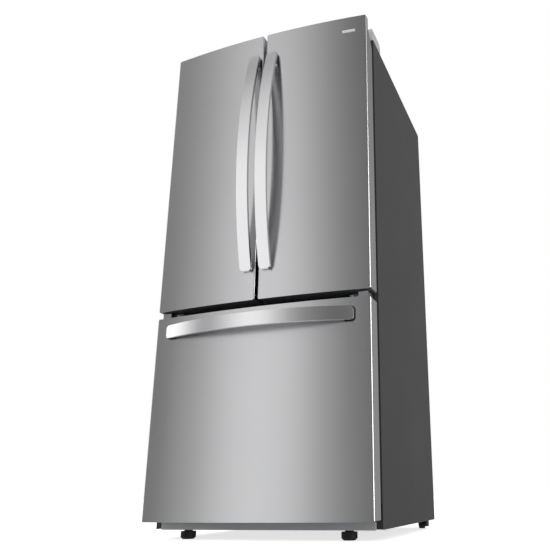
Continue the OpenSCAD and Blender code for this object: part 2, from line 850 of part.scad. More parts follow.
module door_liner() color([0.95, 0.95, 0.94]) {
    difference() {
        box([door_gap / 2 + 6, y_rear, door_bottom + 8], [half - 8, y_liner, liner_top]);
        hinge_pocket();
    }
    ring([rim_in, y_liner - 1, rim_low], [rim_out, y_liner + rim_depth, rim_high],
        rim_wall);
}

module door_gasket() color([0.75, 0.76, 0.77])
    ring([door_gap / 2 + 8, y_liner, door_bottom + 12],
        [half - gasket_inset, y_gasket, liner_top - 3], gasket_w);

module door_handle() color([0.82, 0.83, 0.84]) {
    base = y_front(handle_x - handle_w / 2) - handle_lift;
    translate([handle_x, base, handle_low + handle_length / 2])
        rotate([0, -90, 0]) strap(handle_length, handle_bow, handle_w, 11);
    out = strap_out(handle_length, handle_bow, handle_length / 2 - 34);
    for (z = handle_posts) {
        translate([handle_x, 0, z]) standoff(y_front(handle_x - post_r), handle_lift + out + 2);
    }
}

module door_bins() color([0.85, 0.9, 0.92, 0.6])
    for (i = [0:bin_count - 1]) {
        z = bin_low + i * bin_pitch;
        tub([rim_in + rim_wall + gap, y_liner, z],
            [rim_out - rim_wall - gap, y_liner + bin_depth, z + bin_h],
            tub_wall, [0, 0]);
    }

module left_door_skin() mirror([1, 0, 0]) door_skin();

module left_door_core() mirror([1, 0, 0]) door_core();

module left_door_caps() mirror([1, 0, 0]) door_caps();

module left_door_gasket() mirror([1, 0, 0]) door_gasket();

module left_door_handle() mirror([1, 0, 0]) door_handle();

module left_door_bins() mirror([1, 0, 0]) door_bins();

module right_door_skin() door_skin();

module right_door_core() door_core();

module right_door_liner() door_liner();

module right_door_caps() door_caps();

module right_door_gasket() door_gasket();

module right_door_handle() door_handle();

module right_door_bins() door_bins();

module left_door_liner() color([0.95, 0.95, 0.94]) difference() {
    union() {
        mirror([1, 0, 0]) door_liner();
        for (z = [flap_low, flap_high - lug_h]) {
            box([-rim_in - 1, flap_y - 9, z], [flap_x, flap_y + 9, z + lug_h]);
            translate([flap_x, flap_y, z]) cylinder(r = 9, h = lug_h);
        }
    }
    translate([flap_x, flap_y, flap_low - 1])
        cylinder(r = flap_pin_r + axle_clear, h = flap_high - flap_low + 2);
}

// Upright flap that closes the gap behind the two doors, folded back
module mullion_flap() color([0.8, 0.8, 0.8]) translate([flap_x, flap_y, 0]) {
    translate([0, 0, flap_low + lug_h + 0.5])
        linear_extrude(flap_high - flap_low - 2 * lug_h - 1) {
            translate([-flap_t / 2, 0]) square([flap_t, flap_w - flap_tail]);
            circle(flap_t / 2);
        }
    translate([0, 0, flap_low + 1]) cylinder(r = flap_pin_r, h = flap_high - flap_low - 2);
}

// Freezer drawer

module drawer_skin() color([0.72, 0.73, 0.74]) difference() {
    front_skin(-half, half, drawer_bottom, drawer_top, skin_wall);
    for (x = bar_posts) {
        translate([x, y_face + 5, bar_z]) rotate([90, 0, 0])
            cylinder(r = post_r - 4 + 0.2, h = 50);
    }
}

module drawer_core() color([0.88, 0.82, 0.58])
    intersection() {
        front_core(-half, half, drawer_bottom + end_fold, drawer_top - end_fold);
        outline(-half + end_fold, half - end_fold, drawer_bottom + end_fold,
            drawer_top - end_fold);
    }

module drawer_liner() color([0.95, 0.95, 0.94]) {
    box([8 - half, y_rear, drawer_bottom + 8], [half - 8, y_liner, drawer_top - 8]);
    ring([-rim_out, y_liner - 1, freezer_floor + 16],
        [rim_out, y_liner + rim_depth, freezer_roof - 20], rim_wall);
}

module drawer_gasket() color([0.75, 0.76, 0.77])
    ring([gasket_inset - half, y_liner, drawer_bottom + 56],
        [half - gasket_inset, y_gasket, drawer_top - 12], gasket_w);

module drawer_handle() color([0.82, 0.83, 0.84]) {
    translate([0, bar_base, bar_z]) strap(bar_length, bar_bow, bar_w, 11);
    for (x = bar_posts) {
        skin = y_front(abs(x) - post_r);
        top = bar_base - strap_out(bar_length, bar_bow, x) - 2;
        translate([x, 0, bar_z]) standoff(skin, skin - top);
    }
}

// One slide member along Y, open towards the middle of the freezer
module channel(x, low, high, y, length) {
    box([x, y, low], [x + slide_wall, y + length, high]);
    for (z = [low, high - slide_wall]) {
        box([slide_x, y, z], [x + slide_wall, y + length, z + slide_wall]);
    }
}

module drawer_slides_fixed() color([0.65, 0.66, 0.67]) both_sides()
    channel(cav_x - slide_wall, slide_z, slide_z + slide_h, y_slide, slide_length);

module drawer_slides_middle() color([0.7, 0.71, 0.72]) both_sides()
    channel(cav_x - 2 * slide_wall - slide_clear,
        slide_z + slide_wall + slide_clear,
        slide_z + slide_h - slide_wall - slide_clear, y_slide, slide_length);

module drawer_slides_inner() color([0.7, 0.71, 0.72]) both_sides() {
    box([slide_x - 3, y_liner, inner_low],
        [cav_x - 2 * slide_wall - 2 * slide_clear, y_slide + slide_length - 7,
            slide_z + slide_h - 2 * slide_wall - 2 * slide_clear]);
    box([slide_x - 13, y_liner + rim_depth, inner_low],
        [slide_x - 2, y_basket + basket_depth, inner_low + ledge_h]);
}

module freezer_basket() color([0.92, 0.93, 0.94])
    tub([-basket_x, y_basket, basket_rim - basket_h],
        [basket_x, y_basket + basket_depth, basket_rim], tub_wall,
        [slide_x - 3.5 - basket_x, slide_x - 3.5 - basket_x]);

module upper_tray() color([0.9, 0.92, 0.94])
    tub([-basket_x - 8, y_basket + 2, basket_rim + 0.2],
        [basket_x + 8, y_basket + 2 + tray_depth, basket_rim + tray_h],
        tub_wall, [0, 0]);

// Feet and rollers

module foot() color([0.07, 0.07, 0.07]) translate([foot_x, y_foot, 0]) {
    cylinder(r1 = foot_r - 6, r2 = foot_r, h = 6);
    translate([0, 0, 6]) cylinder(r = foot_r, h = 17);
    cylinder(r = spindle_r, h = spindle_top);
    translate([0, 0, 22]) cylinder(r = spindle_r + 7, h = 6);
}

module front_foot_left() mirror([1, 0, 0]) foot();

module front_foot_right() foot();

module roller() color([0.15, 0.15, 0.16])
    translate([roller_x, y_roller, roller_r]) rotate([0, 90, 0]) {
        cylinder(r = roller_r, h = roller_w);
        cylinder(r = axle_r, h = roller_w + 10);
        translate([0, 0, -3]) cylinder(r = axle_r + 3, h = roller_w + 6);
    }

module rear_roller_left() mirror([1, 0, 0]) roller();

module rear_roller_right() roller();

cabinet_wrapper();
back_panel();
cabinet_foam();
fridge_liner();
freezer_liner();
front_cross_rail();
base_frame();
kick_plate();
top_hinges();
hinge_covers();
middle_hinges();
compressor();
condenser();
condenser_fan_motor();
condenser_fan();
drain_pan();
machine_cover();
evaporator();
evaporator_fan_motor();
evaporator_fan();
evaporator_cover();
air_duct();
interior_lamp();
control_panel();
shelf_frames();
shelf_glass();
drawer_slides_fixed();
left_door_skin();
left_door_core();
left_door_liner();
left_door_caps();
left_door_gasket();
left_door_handle();
left_door_bins();
mullion_flap();
right_door_skin();
right_door_core();
right_door_liner();
right_door_caps();
right_door_gasket();
right_door_handle();
right_door_bins();
drawer_skin();
drawer_core();
drawer_liner();
drawer_gasket();
drawer_handle();
drawer_slides_inner();
drawer_slides_middle();
freezer_basket();
upper_tray();
crisper_left();
crisper_right();
humidity_slider_left();
humidity_slider_right();
pantry_drawer();
front_foot_left();
front_foot_right();
rear_roller_left();
rear_roller_right();
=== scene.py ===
"""Looks of the refrigerator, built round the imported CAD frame. Metres; -Y is the front."""

import json
import math

import bmesh
import bpy
from mathutils import Matrix, Vector


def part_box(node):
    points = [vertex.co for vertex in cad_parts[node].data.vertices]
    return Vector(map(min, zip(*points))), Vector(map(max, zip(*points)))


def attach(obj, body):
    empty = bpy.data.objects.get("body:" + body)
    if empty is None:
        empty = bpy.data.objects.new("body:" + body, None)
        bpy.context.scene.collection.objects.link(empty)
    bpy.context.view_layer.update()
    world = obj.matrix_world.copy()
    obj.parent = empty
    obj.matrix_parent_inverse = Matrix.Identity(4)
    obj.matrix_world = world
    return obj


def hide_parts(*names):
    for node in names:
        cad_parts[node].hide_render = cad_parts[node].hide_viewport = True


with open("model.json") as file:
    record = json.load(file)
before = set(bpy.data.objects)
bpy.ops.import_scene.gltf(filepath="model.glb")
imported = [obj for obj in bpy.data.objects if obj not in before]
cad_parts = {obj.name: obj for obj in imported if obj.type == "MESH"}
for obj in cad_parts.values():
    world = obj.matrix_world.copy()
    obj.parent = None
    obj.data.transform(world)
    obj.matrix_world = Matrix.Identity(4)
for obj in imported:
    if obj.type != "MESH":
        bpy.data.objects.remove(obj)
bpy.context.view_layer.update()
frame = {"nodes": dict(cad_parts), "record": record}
NODES = frame["nodes"]
RECORD = frame["record"]

# ---------------------------------------------------------------- places from the CAD
DOOR_DEPTH = 0.058  # from the rear of a door skin to its front corner
LOW, HIGH = {}, {}
for name in NODES:
    LOW[name], HIGH[name] = (Vector(v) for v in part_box(name))
HALF = HIGH["right_door_skin"].x
DOOR_REAR = HIGH["right_door_skin"].y
FACE = DOOR_REAR - DOOR_DEPTH
DOOR_TOP = HIGH["right_door_skin"].z
SAG = FACE - LOW["drawer_skin"].y
FRONT_R = (HALF * HALF + SAG * SAG) / (2 * SAG)


def front_y(x):
    """Y of the curved fronts at that X."""
    return FACE - SAG + FRONT_R - math.sqrt(FRONT_R * FRONT_R - x * x)


# ---------------------------------------------------------------- camera, fitted to the photograph
EYE = Vector((0.9228, FACE - 1.6869, 0.1329))
YAW, PITCH, ROLL = 0.3167, 0.2896, -0.0158
LENS = 40.41
SHIFT_X, SHIFT_Y = -0.17005, 0.05962


def make_camera():
    level = math.cos(PITCH)
    ahead = Vector((-math.sin(YAW) * level, math.cos(YAW) * level, math.sin(PITCH)))
    right = Vector((math.cos(YAW), math.sin(YAW), 0))
    up = right.cross(ahead)
    side = right * math.cos(ROLL) + up * math.sin(ROLL)
    top = side.cross(ahead)
    data = bpy.data.cameras.new("camera")
    data.lens = LENS
    data.sensor_width = 36
    data.shift_x, data.shift_y = SHIFT_X, SHIFT_Y
    data.clip_start, data.clip_end = 0.05, 60
    obj = bpy.data.objects.new("camera", data)
    obj.matrix_world = Matrix((
        (side.x, top.x, -ahead.x, EYE.x),
        (side.y, top.y, -ahead.y, EYE.y),
        (side.z, top.z, -ahead.z, EYE.z),
        (0, 0, 0, 1)))
    bpy.context.scene.collection.objects.link(obj)
    bpy.context.scene.camera = obj


make_camera()

# ---------------------------------------------------------------- node helpers


class Net:
    """A small wrapper that adds and links shader nodes."""

    def __init__(self, tree):
        self.tree = tree
        tree.nodes.clear()

    def add(self, kind, **props):
        node = self.tree.nodes.new(kind)
        for key, value in props.items():
            setattr(node, key, value)
        return node

    def link(self, a, b):
        self.tree.links.new(a, b)

    def feed(self, socket, value):
        if isinstance(value, bpy.types.NodeSocket):
            self.link(value, socket)
        else:
            socket.default_value = value

    def math(self, op, a, b=0.0, clamp=False):
        node = self.add("ShaderNodeMath", operation=op, use_clamp=clamp)
        self.feed(node.inputs[0], a)
        self.feed(node.inputs[1], b)
        return node.outputs[0]

    def remap(self, value, lo, hi, start=0.0, end=1.0):
        node = self.add("ShaderNodeMapRange")
        self.feed(node.inputs["Value"], value)
        for key, number in (("From Min", start), ("From Max", end), ("To Min", lo), ("To Max", hi)):
            node.inputs[key].default_value = number
        return node.outputs["Result"]

    def mix(self, factor, a, b):
        node = self.add("ShaderNodeMix", data_type="RGBA")
        self.feed(node.inputs["Factor"], factor)
        self.feed(node.inputs[6], a)
        self.feed(node.inputs[7], b)
        return node.outputs[2]

    def where(self, scale=(1, 1, 1)):
        coord = self.add("ShaderNodeTexCoord")
        mapping = self.add("ShaderNodeMapping")
        mapping.inputs["Scale"].default_value = scale
        self.link(coord.outputs["Object"], mapping.inputs["Vector"])
        return mapping.outputs["Vector"]

    def noise(self, scale, detail=3.0, stretch=(1, 1, 1), rough=0.5):
        node = self.add("ShaderNodeTexNoise")
        self.link(self.where(stretch), node.inputs["Vector"])
        node.inputs["Scale"].default_value = scale
        node.inputs["Detail"].default_value = detail
        node.inputs["Roughness"].default_value = rough
        return node.outputs["Fac"]

    def ramp(self, value, stops, spline=False):
        node = self.add("ShaderNodeValToRGB")
        node.color_ramp.interpolation = "B_SPLINE" if spline else "LINEAR"
        marks = node.color_ramp.elements
        marks.remove(marks[1])
        marks[0].position = stops[0][0]
        for place, _ in stops[1:]:
            marks.new(place)
        for mark, (_, grey) in zip(marks, sorted(stops)):
            mark.color = (grey, grey, grey, 1) if isinstance(grey, (int, float)) else (*grey, 1)
        self.feed(node.inputs["Fac"], value)
        return node.outputs["Color"]


def tint(colour, factor):
    return (*[min(1.0, c * factor) for c in colour[:3]], 1.0)


def surface(name, colour, rough, metallic=0.0, vary=0.06, rough_vary=0.06, patch=9.0,
            bump_scale=300.0, bump=0.05, bump_depth=0.0003, stretch=(1, 1, 1), **sockets):
    """A material with slow colour drift, uneven roughness, fine marks and a small bump."""
    mat = bpy.data.materials.new(name)
    mat.use_nodes = True
    net = Net(mat.node_tree)
    out = net.add("ShaderNodeOutputMaterial")
    bsdf = net.add("ShaderNodeBsdfPrincipled")
    net.link(bsdf.outputs[0], out.inputs[0])
    slow = net.noise(patch, 4.0)
    fine = net.noise(bump_scale, 3.0, stretch)
    blend = net.math("ADD", net.math("MULTIPLY", slow, 0.65), net.math("MULTIPLY", fine, 0.35))
    net.link(net.mix(net.remap(blend, 0, 1, 0.3, 0.7), tint(colour, 1 - vary), tint(colour, 1 + vary)),
             bsdf.inputs["Base Color"])
    net.link(net.remap(blend, max(0.02, rough - rough_vary), min(1, rough + rough_vary), 0.3, 0.7),
             bsdf.inputs["Roughness"])
    bsdf.inputs["Metallic"].default_value = metallic
    node = net.add("ShaderNodeBump")
    node.inputs["Strength"].default_value = bump
    node.inputs["Distance"].default_value = bump_depth
    net.link(fine, node.inputs["Height"])
    net.link(node.outputs[0], bsdf.inputs["Normal"])
    for key, value in sockets.items():
        bsdf.inputs[key.replace("_", " ")].default_value = value
    return mat


def brushed(name, colour, rough, aniso, along):
    """Steel with a fine grain. The grain runs level, or upright when along is 'z'."""
    mat = bpy.data.materials.new(name)
    mat.use_nodes = True
    net = Net(mat.node_tree)
    out = net.add("ShaderNodeOutputMaterial")
    bsdf = net.add("ShaderNodeBsdfPrincipled")
    net.link(bsdf.outputs[0], out.inputs[0])
    across = (9, 9, 2600) if along == "x" else (2600, 2600, 9)
    wide = (2.5, 2.5, 620) if along == "x" else (620, 620, 2.5)
    grain = net.noise(1.0, 4.0, across, 0.6)
    streak = net.noise(1.0, 3.0, wide)
    smear = net.noise(3.0, 4.0)
    blend = net.math("ADD", net.math("MULTIPLY", grain, 0.55), net.math("MULTIPLY", streak, 0.45))
    shade = net.mix(net.remap(blend, 0, 1, 0.3, 0.7), tint(colour, 0.97), tint(colour, 1.03))
    net.link(net.mix(net.remap(smear, 0, 0.3, 0.35, 0.75), shade, tint(colour, 0.985)),
             bsdf.inputs["Base Color"])
    uneven = net.math("ADD", net.remap(blend, -0.02, 0.02, 0.3, 0.7),
                      net.remap(smear, -0.008, 0.012, 0.3, 0.7))
    net.link(net.math("ADD", uneven, rough), bsdf.inputs["Roughness"])
    bsdf.inputs["Metallic"].default_value = 1.0
    bsdf.inputs["Anisotropic"].default_value = aniso
    if aniso:
        bsdf.inputs["Anisotropic Rotation"].default_value = 0.25 if along == "x" else 0.0
        tangent = net.add("ShaderNodeTangent", direction_type="RADIAL", axis="Z")
        net.link(tangent.outputs[0], bsdf.inputs["Tangent"])
    node = net.add("ShaderNodeBump")
    node.inputs["Strength"].default_value = 0.03
    node.inputs["Distance"].default_value = 0.0001
    net.link(grain, node.inputs["Height"])
    net.link(node.outputs[0], bsdf.inputs["Normal"])
    return mat


def clear(name, colour, rough, transmission):
    """Clear plastic or glass: a surface that lets that part of the light through."""
    mat = surface(name, colour, rough, vary=0.03, bump=0.03, patch=14.0)
    bsdf = next(n for n in mat.node_tree.nodes if n.type == "BSDF_PRINCIPLED")
    bsdf.inputs["Transmission Weight"].default_value = transmission
    bsdf.inputs["IOR"].default_value = 1.45
    return mat


MATS = {
    "brushed_steel": brushed("brushed_steel", (0.60, 0.60, 0.61), 0.21, 0.95, "x"),
    "handle_steel": brushed("handle_steel", (0.90, 0.90, 0.91), 0.22, 0.0, "z"),
    "cabinet_paint": surface("cabinet_paint", (0.070, 0.070, 0.072), 0.46, vary=0.05, patch=3.0,
                             bump_scale=900, bump=0.25, bump_depth=0.0002, Specular_IOR_Level=0.3),
    "plain_sheet": surface("plain_sheet", (0.46, 0.47, 0.48), 0.36, metallic=0.7, vary=0.05, patch=22,
                           bump_scale=120),
    "foam": surface("foam", (0.80, 0.70, 0.42), 0.9, vary=0.12, bump_scale=420, bump=0.6,
                    bump_depth=0.001),
    "white_liner": surface("white_liner", (0.84, 0.84, 0.83), 0.28, vary=0.02, bump_scale=500, bump=0.06),
    "black_steel": surface("black_steel", (0.018, 0.018, 0.02), 0.45, vary=0.2, bump_scale=500, bump=0.15),
    "kick_grey": surface("kick_grey", (0.50, 0.51, 0.54), 0.45, vary=0.06, bump_scale=700, bump=0.2),
    "hinge_steel": surface("hinge_steel", (0.27, 0.27, 0.28), 0.24, metallic=1.0, vary=0.08,
                           bump_scale=260),
    "cover_grey": surface("cover_grey", (0.80, 0.81, 0.82), 0.45, vary=0.04, bump_scale=800, bump=0.15),
    "dark_plastic": surface("dark_plastic", (0.075, 0.076, 0.08), 0.5, vary=0.1, bump_scale=700, bump=0.2),
    "fan_white": surface("fan_white", (0.72, 0.72, 0.72), 0.4, vary=0.05, bump_scale=600, bump=0.1),
    "fin_aluminium": surface("fin_aluminium", (0.78, 0.79, 0.80), 0.3, metallic=1.0, vary=0.1,
                             bump_scale=240),
    "lamp_lens": surface("lamp_lens", (0.93, 0.93, 0.88), 0.35, vary=0.02, bump=0.2,
                         Transmission_Weight=0.25, Emission_Color=(1, 0.97, 0.9, 1), Emission_Strength=0.6),
    "shelf_rim": surface("shelf_rim", (0.74, 0.75, 0.76), 0.35, vary=0.03, bump_scale=500, bump=0.08),
    "shelf_pane": clear("shelf_pane", (0.86, 0.95, 0.92), 0.06, 0.93),
    "slide_steel": surface("slide_steel", (0.62, 0.63, 0.64), 0.3, metallic=1.0, vary=0.1, bump_scale=200),
    "seal_rubber": surface("seal_rubber", (0.11, 0.11, 0.115), 0.55, vary=0.1, bump_scale=400, bump=0.2),
    "clear_tub": clear("clear_tub", (0.86, 0.92, 0.94), 0.16, 0.75),
    "basket_white": surface("basket_white", (0.82, 0.83, 0.84), 0.35, vary=0.03, bump_scale=500, bump=0.08),
    "slider_green": surface("slider_green", (0.25, 0.42, 0.36), 0.4, vary=0.06, bump_scale=500, bump=0.1),
    "foot_black": surface("foot_black", (0.009, 0.009, 0.010), 0.6, vary=0.2, bump_scale=500, bump=0.25,
                          Specular_IOR_Level=0.25),
}

SLOT_OF = {entry["node"]: entry["material_slot"] for entry in RECORD["subparts"]}


def dress(obj, material):
    obj.data.materials.clear()
    obj.data.materials.append(material)


BEVEL_ANGLE, SHARP_ANGLE = math.radians(28), math.radians(40)


def soften(obj, width):
    bevel = obj.modifiers.new("edges", "BEVEL")
    bevel.width = width
    bevel.segments = 3
    bevel.limit_method = "ANGLE"
    bevel.angle_limit = BEVEL_ANGLE
    bevel.harden_normals = False


EDGE = {
    "left_door_skin": 0.0012, "right_door_skin": 0.0012, "drawer_skin": 0.0012,
    "left_door_handle": 0.0034, "right_door_handle": 0.0034, "drawer_handle": 0.0034,
    "hinge_covers": 0.0015, "middle_hinges": 0.0008, "top_hinges": 0.0008,
    "kick_plate": 0.0008, "machine_cover": 0.0004, "back_panel": 0.0004,
    "freezer_basket": 0.0012, "upper_tray": 0.0012, "crisper_left": 0.0012,
    "crisper_right": 0.0012, "pantry_drawer": 0.0012, "left_door_bins": 0.0012,
    "right_door_bins": 0.0012, "left_door_liner": 0.003, "right_door_liner": 0.003,
    "drawer_liner": 0.003, "shelf_frames": 0.0012, "shelf_glass": 0.0008,
    "control_panel": 0.004, "interior_lamp": 0.003, "air_duct": 0.003,
    "compressor": 0.002, "front_foot_left": 0.001, "front_foot_right": 0.001,
    "rear_roller_left": 0.001, "rear_roller_right": 0.001, "mullion_flap": 0.002,
    "humidity_slider_left": 0.0008, "humidity_slider_right": 0.0008,
}
for name, obj in NODES.items():
    dress(obj, MATS[SLOT_OF[name]])
    if name in EDGE:
        soften(obj, EDGE[name])

# ---------------------------------------------------------------- added pieces
Y, Z = Vector((0, 1, 0)), Vector((0, 0, 1))


def solids(name):
    """Boxes of the separate solids of a CAD node, sorted by height and then from left to right."""
    bm = bmesh.new()
    bm.from_mesh(NODES[name].data)
    bmesh.ops.remove_doubles(bm, verts=bm.verts, dist=1e-6)
    left, found = set(bm.verts), []
    while left:
        seed = left.pop()
        group, front = [seed], [seed]
        while front:
            for edge in front.pop().link_edges:
                for vert in edge.verts:
                    if vert in left:
                        left.remove(vert)
                        group.append(vert)
                        front.append(vert)
        found.append((Vector([min(v.co[i] for v in group) for i in range(3)]),
                      Vector([max(v.co[i] for v in group) for i in range(3)])))
    bm.free()
    return sorted(found, key=lambda box: (round(box[0].z, 4), box[0].x))


def piece(name, body, slot, build, smooth=True, replaces=None):
    """Make a mesh with build(bm) in the material of its slot, and let it ride on a body."""
    bm = bmesh.new()
    build(bm)
    bmesh.ops.recalc_face_normals(bm, faces=bm.faces)
    mesh = bpy.data.meshes.new(name)
    bm.to_mesh(mesh)
    bm.free()
    obj = bpy.data.objects.new(name, mesh)
    bpy.context.scene.collection.objects.link(obj)
    dress(obj, MATS[slot])
    if smooth:
        mesh.shade_smooth()
        mesh.set_sharp_from_angle(angle=SHARP_ANGLE)
    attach(obj, body)
    if replaces:
        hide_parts(replaces)
    return obj


def slab(bm, low, high, radius, segments=3):
    """A block with rounded edges."""
    low, high = Vector(low), Vector(high)
    made = bmesh.ops.create_cube(bm, size=1)["verts"]
    for vert in made:
        vert.co = Vector([(low[i] + high[i]) / 2 + vert.co[i] * (high[i] - low[i]) for i in range(3)])
    edges = {edge for vert in made for edge in vert.link_edges}
    bmesh.ops.bevel(bm, geom=list(edges), offset=radius, segments=segments, profile=0.5, affect="EDGES")


def turned(bm, outline, centre, axis, steps=40):
    """A turned solid: outline is a list of (radius, height) that starts and ends on the axis."""
    axis = Vector(axis)
    across = axis.orthogonal().normalized()
    other = axis.cross(across)
    rows = []
    for radius, height in outline:
        middle = Vector(centre) + axis * height
        if radius == 0:
            rows.append([bm.verts.new(middle)])
            continue
        rows.append([bm.verts.new(middle + radius * (across * math.cos(t) + other * math.sin(t)))
                     for t in (2 * math.pi * k / steps for k in range(steps))])
    for low, high in zip(rows, rows[1:]):
        for k in range(steps):
            corners = [low[k % len(low)], low[(k + 1) % len(low)],
                       high[(k + 1) % len(high)], high[k % len(high)]]
            bm.faces.new(list(dict.fromkeys(corners)))


def extruded(bm, outline, x0, x1):
    """A closed (y, z) outline carried along X."""
    ends = [[bm.verts.new((x, y, z)) for y, z in outline] for x in (x0, x1)]
    count = len(outline)
    for k in range(count):
        bm.faces.new((ends[0][k], ends[0][(k + 1) % count], ends[1][(k + 1) % count], ends[1][k]))
    bm.faces.new(ends[0])
    bm.faces.new(list(reversed(ends[1])))


# The seals: a pleated bellows between the liner and a flat magnet head. The section is in parts of
# the width (inward) and of the depth (from the door to the cabinet)
SEAL_SECTION = [
    (0.0, 0.0), (1.0, 0.0), (1.0, 0.12), (0.80, 0.24), (0.94, 0.40), (0.78, 0.56), (0.97, 0.68),
    (0.97, 1.0), (0.03, 1.0), (0.03, 0.68), (0.22, 0.56), (0.06, 0.40), (0.20, 0.24), (0.0, 0.12)]
SEAL_WIDTH = 0.014


def seal(name, body, node):
    low, high = LOW[node], HIGH[node]

    def build(bm):
        rows = []
        for inward, out in SEAL_SECTION:
            u, y = inward * SEAL_WIDTH, low.y + out * (high.y - low.y)
            rows.append([bm.verts.new(p) for p in (
                (low.x + u, y, low.z + u), (high.x - u, y, low.z + u),
                (high.x - u, y, high.z - u), (low.x + u, y, high.z - u))])
        for a, b in zip(rows, rows[1:] + rows[:1]):
            for k in range(4):
                bm.faces.new((a[k], a[(k + 1) % 4], b[(k + 1) % 4], b[k]))

    piece(name, body, "seal_rubber", build, smooth=False, replaces=node)


seal("left_door_seal", "left_door", "left_door_gasket")
seal("right_door_seal", "right_door", "right_door_gasket")
seal("drawer_seal", "freezer_drawer", "drawer_gasket")

# Collars round the standoffs of all handles, and dark pads under the ends of the drawer handle. The pads
# are painted shade: a dark sheet that stands in for the shadowed gap under the strap ends
SHADE_PAD_T, SHADE_PAD_SUNK, SHADE_PAD_PROUD, SHADE_PAD_LENGTH, SHADE_PAD_ROUND = 0.0034, 0.0003, 0.0024, 0.034, 0.0125
POST_R, POST_INSET = 0.009, 0.034
COLLAR_R, COLLAR_H, COLLAR_SUNK = 0.0125, 0.0022, 0.0004


def rounded_end(half_width, length, radius, steps=7):
    """Outline of a strap end in (along, across): round corners at the start, square further in."""
    outline = [(length, -half_width)]
    for side, start in ((-1, 270), (1, 180)):
        for k in range(steps + 1):
            t = math.radians(start - 90 * k / steps)
            outline.append((radius + radius * math.cos(t),
                            side * (half_width - radius) + radius * math.sin(t)))
    return outline + [(length, half_width)]


def shade_pad(bm, outline, to_xz):
    """A thin plate that follows the curved front under an outline; in dark plastic it is painted shade
    under a handle end.
    """
    rows = []
    for lift in (-SHADE_PAD_SUNK, SHADE_PAD_T):
        row = []
        for along, across in outline:
            x, z = to_xz(along, across)
            row.append(bm.verts.new((x, front_y(x) - lift, z)))
        rows.append(row)
    count = len(outline)
    for k in range(count):
        bm.faces.new((rows[0][k], rows[0][(k + 1) % count], rows[1][(k + 1) % count], rows[1][k]))
    for row in rows:
        bm.faces.new(row)


def collar(bm, x, z):
    """A low turned ring round a standoff, square to the curved front."""
    lean = Vector((x / FRONT_R, -math.sqrt(1 - (x / FRONT_R) ** 2), 0))
    foot = Vector((x, front_y(x), z)) - lean * COLLAR_SUNK
    turned(bm, [(0, 0), (COLLAR_R, 0), (COLLAR_R, COLLAR_H * 0.6), (COLLAR_R - 0.0006, COLLAR_H),
                (POST_R + 0.0005, COLLAR_H), (POST_R + 0.0002, COLLAR_H - 0.0004), (0, COLLAR_H - 0.0004)],
           foot, lean)


def handle_collars_and_shade_pads(name, body, node, level):
    """Collars at both ends of a handle, and pads too where it is level (lies along X). The pads are dark
    painted shade for the shadowed gap under the strap ends.
    """
    low, high = LOW[node], HIGH[node]
    centre = (low + high) / 2

    def build(bm):
        for sign, end in ((1, low), (-1, high)):
            if level:
                # a dark pad under each end: painted shade for the shadowed gap under the strap end
                outline = rounded_end((high.z - low.z) / 2 + SHADE_PAD_PROUD, SHADE_PAD_LENGTH, SHADE_PAD_ROUND)
                shade_pad(bm, outline, lambda u, v: (end.x + sign * (u - SHADE_PAD_PROUD), centre.z + v))
                collar(bm, end.x + sign * POST_INSET, centre.z)
            else:
                collar(bm, centre.x, end.z + sign * POST_INSET)

    piece(name, body, "foot_black", build, smooth=False)


handle_collars_and_shade_pads("left_handle_feet", "left_door", "left_door_handle", False)
handle_collars_and_shade_pads("right_handle_feet", "right_door", "right_door_handle", False)
handle_collars_and_shade_pads("drawer_handle_collars_and_shade_pads", "freezer_drawer", "drawer_handle", True)

# A small blank plate near the top of the right door
PLATE_X, PLATE_DROP, PLATE_W, PLATE_H, PLATE_T = 0.315, 0.058, 0.046, 0.011, 0.0012


def plate(bm):
    middle = front_y(PLATE_X)
    slab(bm, (PLATE_X - PLATE_W / 2, middle - PLATE_T, DOOR_TOP - PLATE_DROP - PLATE_H / 2),
         (PLATE_X + PLATE_W / 2, middle + 0.0004, DOOR_TOP - PLATE_DROP + PLATE_H / 2), 0.0005)
    for vert in bm.verts:
        vert.co.y += front_y(vert.co.x) - middle


piece("blank_plate", "right_door", "shelf_rim", plate)

# Inside: trims, grips, keys and lens ribs
SHELF_FRONT = LOW["shelf_frames"].y


def shelf_trims(bm):
    for low, high in solids("shelf_glass"):
        slab(bm, (LOW["shelf_frames"].x + 0.004, SHELF_FRONT - 0.0018, low.z - 0.0085),
             (HIGH["shelf_frames"].x - 0.004, SHELF_FRONT + 0.0035, high.z + 0.0016), 0.0012)


piece("shelf_trims", "cabinet", "slide_steel", shelf_trims)


def bin_trims(node):
    def build(bm):
        for low, high in solids(node):
            slab(bm, (low.x + 0.002, high.y - 0.0035, high.z - 0.016),
                 (high.x - 0.002, high.y + 0.0016, high.z + 0.0014), 0.001)
    return build


for side in ("left", "right"):
    piece(side + "_bin_trims", side + "_door", "slide_steel", bin_trims(side + "_door_bins"))

GRIP_OUT, GRIP_DROP, GRIP_T = 0.013, 0.012, 0.003
CRISPER_GRIP_HALF = 0.085
PANTRY_GRIPS = [(-0.25, -0.06), (0.06, 0.25)]


def grip(bm, front, top, x0, x1):
    """A lip that curls out and down from the top edge of a drawer front."""
    bend = [(front - GRIP_OUT + GRIP_T * (1 - math.sin(t)), top - GRIP_T * (1 - math.cos(t)))
            for t in (math.radians(15 * k) for k in range(7))]
    outline = [(front + 0.001, top)] + bend + [
        (front - GRIP_OUT, top - GRIP_DROP), (front - GRIP_OUT + GRIP_T * 0.7, top - GRIP_DROP),
        (front - GRIP_OUT + GRIP_T, top - GRIP_T - 0.001), (front + 0.001, top - GRIP_T - 0.001)]
    extruded(bm, outline, x0, x1)


def grips(node, spans):
    def build(bm):
        for x0, x1 in spans:
            grip(bm, LOW[node].y, HIGH[node].z - 0.001, x0, x1)
    return build


